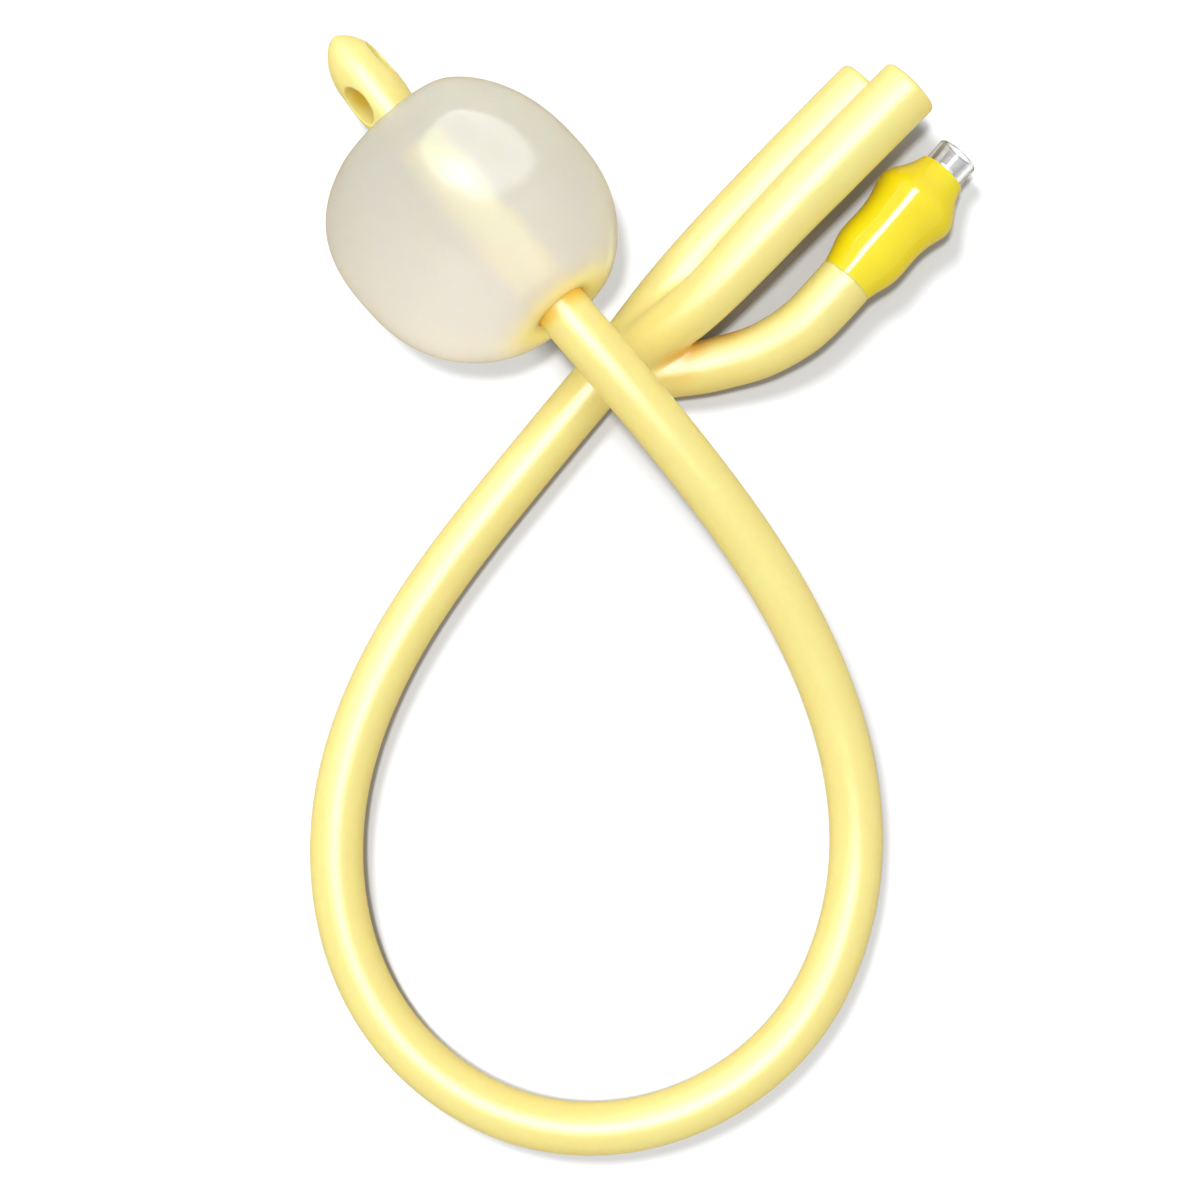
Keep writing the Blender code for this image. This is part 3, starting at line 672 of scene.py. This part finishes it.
dx, dy = tip_local(*LUMEN_DRAIN[1:])
ix, iy = tip_local(*LUMEN_IRRIG[1:])
irrig_turn = math.degrees(math.atan2(iy, ix) - sky_angle)
boolean(tip, [
    local_cylinder("well_a", LUMEN_DRAIN[0], 1.6, 9.4, (dx, dy, 9.4 / 2 - 1.0)),
    local_cylinder("well_b", LUMEN_IRRIG[0], LUMEN_IRRIG[0], 3.4, (ix, iy, 0.7), sides=20),
    eye_plug("eye_a", EYE_TURN, EYE_Z, EYE_LEN, EYE_WIDTH, 0.2),
    eye_plug("eye_b", 75, 7.4, EYE_LEN - 0.4, EYE_WIDTH - 0.2, 0.2),
    eye_plug("eye_c", irrig_turn, 1.7, 1.4, 1.2, 2.0),
], "DIFFERENCE")
remeshed(tip, 0.12, smooth=9)
eye_out, eye_across = eye_axes(EYE_TURN)
# painted shade deep in the tip's eye, next to its upper rim
eye_shade_point = tip_frame @ ((eye_out * 0.7 - eye_across * 1.5 + Vector((0, 0, EYE_Z + 1.5))) * MM)
LATEX_TIP = latex("latex_tip", 0.0018, [(eye_shade_point, 0.0008, 0.0027, (0.98, 0.76, 0.12))])
finished(tip, LATEX_TIP, "catheter", "latex", "tip")

# -------------------------------------------------------------------- balloon
heading = math.atan2(-0.998, -0.068)
tilt = math.radians(BALLOON_TILT)
balloon_z = Vector((math.cos(heading) * math.cos(tilt), math.sin(heading) * math.cos(tilt),
                    math.sin(tilt)))
balloon_x = Vector((-math.sin(heading), math.cos(heading), 0))
balloon_frame = Matrix.Identity(4)
for k, axis in enumerate((balloon_x, balloon_z.cross(balloon_x), balloon_z)):
    balloon_frame.col[k][:3] = axis
balloon_frame.translation = placed(*BALLOON_C)


def balloon_section(inset, from_r, count, power=BALLOON_POWER, dimple=BALLOON_DIMPLE):
    line = []
    for a in np.linspace(0, math.pi / 2, 400):
        along = (BALLOON_A - inset) * abs(math.sin(a)) ** (2 / power)
        out = (BALLOON_R - inset) * abs(math.cos(a)) ** (2 / power)
        draw = max(0.0, 1 - (out / BALLOON_DIMPLE_R) ** 2) ** 2
        line.append((out, along - dimple * draw))
    line = np.array([q for q in line if q[0] >= from_r])
    run = np.concatenate([[0], np.cumsum(np.linalg.norm(np.diff(line, axis=0), axis=1))])
    want = np.linspace(0, run[-1], count)
    return [(np.interp(w, run, line[:, 0]), np.interp(w, run, line[:, 1])) for w in want]


cuff_in = R + 0.04
cuff_out = cuff_in + CUFF_WALL
skin, lining = (balloon_section(inset, r, n) for inset, r, n in (
    (0.0, cuff_in + 0.25, 64), (BALLOON_WALL, cuff_out + 0.3, 56)))
exit_skin, exit_lining = (balloon_section(inset, r, n, *BALLOON_EXIT) for inset, r, n in (
    (0.0, cuff_in + 0.25, 64), (BALLOON_WALL, cuff_out + 0.3, 56)))
end_z, exit_z = skin[-1][1] - 0.2, exit_skin[-1][1] - 0.2
outline = [(cuff_in, exit_z)]
outline += [(r, z) for r, z in reversed(exit_skin)]
outline += [(r, -z) for r, z in skin[1:]]
outline += [(cuff_in, -end_z), (cuff_in, -end_z + CUFF_LEN), (cuff_out, -end_z + CUFF_LEN)]
outline += [(cuff_out, -lining[-1][1] + 0.25)]
outline += [(r, -z) for r, z in reversed(lining)]
outline += [(r, z) for r, z in exit_lining[1:]]
outline += [(cuff_out, exit_lining[-1][1] - 0.25), (cuff_out, exit_z - CUFF_LEN),
            (cuff_in, exit_z - CUFF_LEN)]


balloon_mesh = revolved("balloon_skin", outline, 120, Matrix.Identity(4))
for v in balloon_mesh.vertices:
    r = math.hypot(v.co.x, v.co.y) / MM
    t = min(1.0, max(0.0, (r - cuff_out - 0.2) / (BALLOON_R - cuff_out - 0.2)))
    t = t * t * (3 - 2 * t)
    x, z = v.co.x, v.co.z
    v.co.x = x + (BALLOON_SKEW * z - BALLOON_OFF * MM) * t
    w = min(1.0, max(0.0, (z / MM - 1.0) / 14.0))
    w = w * w * (3 - 2 * w)
    v.co.z = z + BALLOON_SKEW * x * t - (EXIT_LEAN * v.co.y + EXIT_IN * MM) * w
balloon_mesh.transform(balloon_frame)
balloon = new_object("balloon_skin", balloon_mesh)
finished(balloon, FILM, "catheter", "balloon_film", "balloon")

# ----------------------------------------------------------------- funnel hub
def arm_path(rows, count):
    pts, _ = even([row[:3] for row in rows], count)
    xs = np.array([row[0] for row in rows])
    rs = np.array([row[3] for row in rows])
    return pts, np.interp(pts[:, 0], xs, rs)


def levelled(pts, over=6):
    """Brings the last stretch level, so that the mouth is square."""
    for i in range(2, over + 2):
        w = (i - 1) / over
        pts[-i][1:] = pts[-1][1:] * (1 - w) + pts[-i][1:] * w
    return pts


def lipped(pts, rs):
    d = (pts[-1] - pts[-2]) / np.linalg.norm(pts[-1] - pts[-2])
    end, r = pts[-1], rs[-1]
    extra = [(1 - math.cos(t)) for t in np.linspace(0, math.pi / 2, 6)]
    backs = [math.cos(math.pi / 2 - t) for t in np.linspace(math.pi / 2, 0, 6)]
    line = [end - d * LIP * b for b in backs]
    rad = [r - LIP * e for e in extra]
    return np.vstack([pts[:-1]] + [np.array(line)]), np.concatenate([rs[:-1], rad])


drain_pts, drain_r = arm_path(DRAIN_ARM, 70)
irrig_pts, irrig_r = arm_path(IRRIG_ARM, 66)
arm_pts, arm_r = arm_path(INFLATE_ARM, 60)
drain_pts, irrig_pts = levelled(drain_pts), levelled(irrig_pts)
drain_out, drain_rad = lipped(drain_pts, drain_r)
irrig_out, irrig_rad = lipped(irrig_pts, irrig_r)

hub = new_object("funnel_moulding", tube_mesh("funnel_moulding", drain_out, drain_rad, 48))
irrig_tube = new_object("irrig_tube", tube_mesh("irrig_tube", irrig_out, irrig_rad, 48))
arm_tube = new_object("arm_tube", tube_mesh("arm_tube", arm_pts, arm_r, 44))
boolean(hub, [irrig_tube, arm_tube], "UNION")


def bore(name, pts, start, radii, mouth=0.0, sides=36):
    spec_r, across, above = start
    n = len(pts)
    line = np.array(pts)
    shift = side[-1] * across + up[-1] * above
    lead = path[-1] + shift
    for i in range(n):
        t = min(1.0, i / (0.35 * n))
        line[i] = line[i] + shift * (1 - t * t * (3 - 2 * t))
    keep = line[:, 0] > lead[0] + 1.0
    line, radii = line[keep], radii[keep]
    line = np.vstack([lead - tangent[-1] * 0.7, lead + tangent[-1] * 0.5, line])
    radii = np.concatenate([[spec_r, spec_r], radii])
    if mouth:
        d = (pts[-1] - pts[-2]) / np.linalg.norm(pts[-1] - pts[-2])
        r = radii[-1]
        line = np.vstack([line[:-1], pts[-1] - d * mouth, pts[-1] - d * mouth * 0.5,
                          pts[-1] - d * mouth * 0.15, pts[-1] + d * 0.02, pts[-1] + d * 1.0])
        radii = np.concatenate([radii[:-1], [r, r + mouth * 0.1, r + mouth * 0.3, r + mouth * 0.5,
                                             r + mouth * 0.5]])
    return new_object(name, tube_mesh(name, line, radii, sides))


def flare(pts, r0, r1, begin=0.3, end=0.75):
    n = len(pts)
    t = np.clip((np.arange(n) / (n - 1) - begin) / (end - begin), 0, 1)
    t = t * t * (3 - 2 * t)
    return r0 + (r1 - r0) * t


inflate_line = np.vstack([arm_pts[:-1], arm_pts[-1] + (arm_pts[-1] - arm_pts[-2])])

hd, dr = math.radians(VALVE_HEADING), math.radians(VALVE_DROOP)
valve_z = Vector((math.cos(hd) * math.cos(dr), math.sin(hd) * math.cos(dr), -math.sin(dr)))
valve_x = Vector((-math.sin(hd), math.cos(hd), 0))
valve_frame = Matrix.Identity(4)
for k, axis in enumerate((valve_x, valve_z.cross(valve_x), valve_z)):
    valve_frame.col[k][:3] = axis
valve_frame.translation = placed(*VALVE_MOUTH)


def on_valve(name, line, steps, shape=None):
    return new_object(name, revolved(name, [(q[0], -q[1]) for q in line], steps, valve_frame, shape))


arm_end = on_valve("arm_end", [(0, JOINT_S - 6), (8, JOINT_S - 6), (8, JOINT_S - 0.45),
                              (0, JOINT_S - 0.45)], 48)
socket = on_valve("socket", [(0, JOINT_S - 1), (2.6, JOINT_S - 1), (2.6, JOINT_S + 6.2),
                             (0.8, JOINT_S + 7.2), (0, JOINT_S + 7.2)], 48)
root_box = new_object("root_box", bpy.data.meshes.new("root_box"))
bm = bmesh.new()
bmesh.ops.create_cube(bm, size=1.0)
bmesh.ops.scale(bm, vec=(6 * MM, 24 * MM, 24 * MM), verts=bm.verts)
bm.to_mesh(root_box.data)
bm.free()
hub_axis = Vector(tangent[-1]).normalized()
m = Matrix.Identity(4)
for k, axis in enumerate((hub_axis, Vector((0, 0, 1)).cross(hub_axis).normalized(), Vector((0, 0, 1)))):
    m.col[k][:3] = axis
m.translation = placed(*(path[-1] + tangent[-1] * (GAP - 3.0)))
root_box.data.transform(m)

boolean(hub, [
    bore("drain_bore", drain_pts, LUMEN_DRAIN, flare(drain_pts, LUMEN_DRAIN[0], DRAIN_BORE), mouth=0.5),
    bore("irrig_bore", irrig_pts, LUMEN_IRRIG, flare(irrig_pts, LUMEN_IRRIG[0], IRRIG_BORE), mouth=0.5),
    bore("inflate_bore", inflate_line, LUMEN_INFLATE, flare(inflate_line, LUMEN_INFLATE[0], 0.8, 0.2, 0.7),
         sides=16),
    arm_end, socket, root_box,
], "DIFFERENCE")
remeshed(hub, 0.275, smooth=4)

# the moulding flows from one arm into the next where they part
web = hub.vertex_groups.new(name="web")
bins = {}
for v in hub.data.vertices:
    x = v.co.x / MM + FOOT_X
    w = round(min(1.0, max(0.0, (x - 22.5) / 2.0)) * min(1.0, max(0.0, (49.0 - x) / 8.0)), 1)
    bins.setdefault(w, []).append(v.index)
for w, members in bins.items():
    web.add(members, w, "REPLACE")
ease = hub.modifiers.new("web", "SMOOTH")
ease.vertex_group, ease.factor, ease.iterations = "web", 0.5, 48
only(hub)
bpy.ops.object.modifier_apply(modifier=ease.name)
finished(hub, LATEX_HUB, "catheter", "latex", "funnel_hub")

# ---------------------------------------------------------------------- valve
seat_under = LUER_DEPTH + SEAT_WEB
housing = on_valve("luer_body", rounded([
    (LUER_BORE[0], 0.0, 0.12), (LUER_R, 0.0, 0.3), (LUER_R, HOUSING_LEN, 0.1),
    (CHAMBER_R, HOUSING_LEN, 0.1), (CHAMBER_R, seat_under, 0.15), (SEAT_R, seat_under, 0.12),
    (SEAT_R, LUER_DEPTH, 0.12), (LUER_BORE[1], LUER_DEPTH, 0.15)]), 72)
finished(housing, CLEAR, "catheter", "clear_plastic", "valve_housing", angle=60)

plunger = on_valve("push_rod", rounded([
    (0, 2.6), (1.2, 2.6, 0.25), (1.2, 5.0, 0.1), (0.62, 5.0, 0.1), (0.62, 10.2, 0.1),
    (1.55, 10.2, 0.12), (1.55, 11.2, 0.12), (0.55, 11.2, 0.08), (0.55, 12.6, 0.12), (0, 12.6)],
    closed=False), 40)
finished(plunger, WHITE, "plunger", "white_plastic", "valve_plunger", angle=60)

seal = on_valve("seal_ring", rounded([
    (0.95, 9.0, 0.15), (1.6, 9.0, 0.3), (1.6, 9.9, 0.3), (0.95, 9.9, 0.15)]), 40)
finished(seal, SEAL, "plunger", "seal_rubber", "valve_seal")

retainer = on_valve("barbed_tail", rounded([
    (0.8, 16.5, 0.1), (1.65, 16.5, 0.15), (1.65, HOUSING_LEN + GAP, 0.05),
    (2.9, HOUSING_LEN + GAP, 0.12), (2.9, 21.3, 0.12), (1.9, 21.3, 0.15), (1.9, 24.6, 0.15),
    (2.25, 25.0, 0.08), (1.9, 26.6, 0.1), (2.2, 27.0, 0.08), (1.7, 28.6, 0.15), (0.8, 28.6, 0.1)]), 48)
finished(retainer, WHITE, "catheter", "white_plastic", "valve_retainer", angle=50)

sleeve_line, _ = even(SLEEVE, 90)
sleeve_bore = LUER_R + 0.06
sleeve_outline = [(r, s) for s, r in sleeve_line]
s_last, s_first = SLEEVE[-1][0], SLEEVE[0][0]
sleeve_outline += [(sleeve_bore + 0.25, s_last + 0.02), (sleeve_bore, s_last - 0.2)]
sleeve_outline += [(sleeve_bore, s) for s in np.linspace(s_last - 1.0, s_first + 0.6, 12)]
sleeve_outline += [(sleeve_bore, s_first + 0.15), (sleeve_bore + 0.12, s_first)]
sleeve = on_valve("yellow_sleeve", sleeve_outline, 96)
finished(sleeve, SLEEVE_GLOSS, "catheter", "sleeve_yellow", "valve_sleeve", angle=70)

turns, wire_r, coil_r, s0, s1 = 5.0, 0.2, 1.25, 11.75, 16.0
coil = []
for i in range(int(turns * 28) + 1):
    t = i / (turns * 28)
    a = math.tau * turns * t
    coil.append(np.array(valve_frame.to_3x3() @ Vector(
        (coil_r * math.cos(a), coil_r * math.sin(a), -(s0 + (s1 - s0) * t)))) + np.array(VALVE_MOUTH))
coil = np.array(coil)
tan = np.gradient(coil, axis=0)
tan /= np.linalg.norm(tan, axis=1)[:, None]
axis = np.array(valve_z)
verts, faces, n_side = [], [], 12
for q, t in zip(coil, tan):
    b = np.cross(t, axis)
    b /= np.linalg.norm(b)
    c = np.cross(b, t)
    for a in np.linspace(0, math.tau, n_side, endpoint=False):
        verts.append(placed(*(q + (b * math.cos(a) + c * math.sin(a)) * wire_r)))
for i in range(len(coil) - 1):
    for k in range(n_side):
        n = (k + 1) % n_side
        faces.append((i * n_side + k, i * n_side + n, (i + 1) * n_side + n, (i + 1) * n_side + k))
faces += [tuple(range(n_side)), tuple(range((len(coil) - 1) * n_side, len(coil) * n_side))]
spring = new_object("return_spring", mesh_from("return_spring", verts, faces))
spring.data.materials.append(STEEL)
soft(spring, 60)
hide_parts("valve_spring")


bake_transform(spring)

# points along the shaft's centre, from the funnels to the tip
way = [placed(*q) for q in tube_line[::-1]]

# ----------------------------------------------------------- floor and lights
def plane(name, z, colour):
    ob = new_object(name, bpy.data.meshes.new(name))
    bm = bmesh.new()
    bmesh.ops.create_grid(bm, x_segments=2, y_segments=2, size=4.0)
    bm.to_mesh(ob.data)
    bm.free()
    ob.location = (0, 0, z)
    mat, tree, bsdf = nodes_of(name + "_paint")
    set_inputs(bsdf, Base_Color=(*colour, 1), Roughness=0.9, Specular_IOR_Level=0.0)
    ob.data.materials.append(mat)
    return ob


# the pale floor that is seen, and a greyer card just under it that gives the
# object its light from below
floor = plane("floor", 0.0, (0.415, 0.42, 0.43))
floor.visible_diffuse = floor.visible_glossy = floor.visible_shadow = False
card = plane("bounce_card", -0.0003, (0.65, 0.54, 0.31))

world = bpy.data.worlds.new("studio")
world.use_nodes = True
world.node_tree.nodes["Background"].inputs["Color"].default_value = (1, 1, 1, 1)
world.node_tree.nodes["Background"].inputs["Strength"].default_value = 0.70
bpy.context.scene.world = world

floor_only = bpy.data.collections.new("floor_only")
bpy.context.scene.collection.children.link(floor_only)
floor_only.objects.link(floor)
lit_object = bpy.data.collections.new("lit_object")
bpy.context.scene.collection.children.link(lit_object)
for ob in list(bpy.context.scene.objects):
    if ob.type in {"MESH", "CURVE"} and ob not in (floor, card) and ob.name not in lit_object.objects:
        lit_object.objects.link(ob)

IMAGE_UP = Vector((1, 1, 0)).normalized()
IMAGE_RIGHT = Vector((1, -1, 0)).normalized()


def aimed(ob, towards_up, towards_right, distance, target=(0, 0, 0)):
    """Places a light off the zenith, by degrees towards the picture's top and right."""
    d = skyward(towards_up, towards_right)
    ob.location = Vector(target) + d * distance
    ob.rotation_mode = "QUATERNION"
    ob.rotation_quaternion = d.to_track_quat("Z", "Y")
    return ob


def sun(name, strength, angle, up_deg, right_deg, colour=(1, 1, 1), receivers=None, blockers=None):
    data = bpy.data.lights.new(name, "SUN")
    data.energy = strength
    data.angle = math.radians(angle)
    data.color = colour
    ob = bpy.data.objects.new(name, data)
    bpy.context.scene.collection.objects.link(ob)
    aimed(ob, up_deg, right_deg, 1.0)
    if receivers is not None:
        ob.light_linking.receiver_collection = receivers
    if blockers is not None:
        ob.light_linking.blocker_collection = blockers
    return ob


def softbox(name, shape, radiance, wide, tall, direction, along, distance, target, receivers):
    """A softbox seen only as gloss, wide by tall degrees as the object sees it.

    direction points from the target to it, and its tall side lies along along.
    """
    data = bpy.data.lights.new(name, "AREA")
    data.shape = shape
    data.size = 2 * distance * math.tan(math.radians(wide / 2))
    data.size_y = 2 * distance * math.tan(math.radians(tall / 2))
    area = data.size * data.size_y * (math.pi / 4 if shape == "ELLIPSE" else 1)
    data.energy = radiance * math.pi * area
    ob = bpy.data.objects.new(name, data)
    bpy.context.scene.collection.objects.link(ob)
    back = direction.normalized()
    upright = (along - back * along.dot(back)).normalized()
    turn = Matrix.Identity(3)
    for i, axis in enumerate((upright.cross(back), upright, back)):
        turn.col[i] = axis
    ob.location = Vector(target) + back * distance
    ob.rotation_mode = "QUATERNION"
    ob.rotation_quaternion = turn.to_quaternion()
    ob.visible_camera = ob.visible_diffuse = False
    ob.light_linking.receiver_collection = receivers
    return ob


def skyward(up_deg, right_deg):
    """The way to a light that stands off the zenith towards the picture's top and right."""
    return (IMAGE_UP * math.tan(math.radians(up_deg)) + IMAGE_RIGHT * math.tan(math.radians(right_deg))
            + Vector((0, 0, 1))).normalized()


film_only = bpy.data.collections.new("film_only")
solid_things = bpy.data.collections.new("solid_things")
for group in (film_only, solid_things):
    bpy.context.scene.collection.children.link(group)
for ob in lit_object.objects:
    (film_only if ob is balloon else solid_things).objects.link(ob)

latex_things = bpy.data.collections.new("latex_things")
bpy.context.scene.collection.children.link(latex_things)
for ob in (shaft_tube, tip, hub):
    latex_things.objects.link(ob)
solid_and_card = bpy.data.collections.new("solid_and_card")
bpy.context.scene.collection.children.link(solid_and_card)
solid_and_card.children.link(solid_things)
solid_and_card.objects.link(card)

card_only = bpy.data.collections.new("card_only")
gloss_blockers = bpy.data.collections.new("gloss_blockers")
sleeve_only = bpy.data.collections.new("sleeve_only")
valve_things = bpy.data.collections.new("valve_things")
for group in (card_only, gloss_blockers, sleeve_only, valve_things):
    bpy.context.scene.collection.children.link(group)
card_only.objects.link(card)
gloss_blockers.objects.link(card)
gloss_blockers.objects.link(balloon)
gloss_blockers.objects.link(tip)
sleeve_only.objects.link(sleeve)
for ob in (housing, plunger, seal, retainer, spring):
    valve_things.objects.link(ob)

# the floor's light, from steep to slanting; the slanting parts pass the thin balloon
sun("floor_steep", 3.3, 6.0, 4.0, -5.0, receivers=floor_only)
sun("floor_mid", 2.8, 12.0, 22.0, -16.0, receivers=floor_only, blockers=solid_things)
sun("floor_slant", 0.6, 16.0, 28.0, -19.0, receivers=floor_only, blockers=solid_things)

# the tube's light: broad light from above and the upper left, and a lamp with
# a soft edge that is seen as gloss
sun("tube_top", 1.05, 50.0, 12.0, -8.0, receivers=solid_and_card).visible_glossy = False
sun("tube_side", 0.65, 60.0, 52.0, -42.0, receivers=solid_things,
    blockers=solid_things).visible_glossy = False
for name, strength, angle, up_deg, right_deg, receivers in (
        ("tube_gloss_core", 1.4, 24.0, 8.0, -3.0, latex_things),
        ("tube_gloss_mid", 2.8, 40.0, 8.0, -5.0, latex_things),
        ("tube_gloss_rim", 4.5, 64.0, 10.0, -10.0, latex_things),
        ("tube_gloss_side", 3.0, 60.0, 45.0, -45.0, latex_things)):
    sun(name, strength, angle, up_deg, right_deg, receivers=receivers,
        blockers=gloss_blockers).visible_diffuse = False

# a strip light along the sleeve and a weaker one along the luer
for name, radiance, wide, tall, towards, receivers in (
        ("sleeve_strip", 14.0, 15.0, 70.0, (15.0, -15.0), sleeve_only),
        ("luer_strip", 6.0, 13.0, 60.0, (5.0, -3.0), valve_things)):
    softbox(name, "RECTANGLE", radiance, wide, tall, skyward(*towards), valve_z, 0.5,
            valve_frame @ Vector((0, 0, -0.013)), receivers).light_linking.blocker_collection = card_only

# the balloon's own: a lamp with a soft edge inside a wide round softbox, both
# seen as gloss, and a broad fill from the other side
for name, strength, angle in (("film_gloss_core", 0.5, 16.0), ("film_gloss_mid", 0.8, 28.0),
                              ("film_gloss_rim", 1.0, 42.0)):
    sun(name, strength, angle, 30.0, -2.0, receivers=film_only).visible_diffuse = False
sun("film_fill", 2.7, 60.0, -60.0, 2.0, colour=(1.0, 0.88, 0.84),
    receivers=film_only).visible_glossy = False
softbox("film_softbox", "ELLIPSE", 7.4, 80.0, 60.0, skyward(57.0, 12.0), balloon_z, 0.7,
        placed(*BALLOON_C), film_only)

scene = bpy.context.scene
scene.view_settings.view_transform = "Standard"
scene.view_settings.look = "None"
scene.view_settings.exposure = 0.0
scene.view_settings.gamma = 1.0
scene.cycles.use_denoising = True
scene.cycles.max_bounces = 12
scene.cycles.transmission_bounces = 10
scene.cycles.transparent_max_bounces = 12
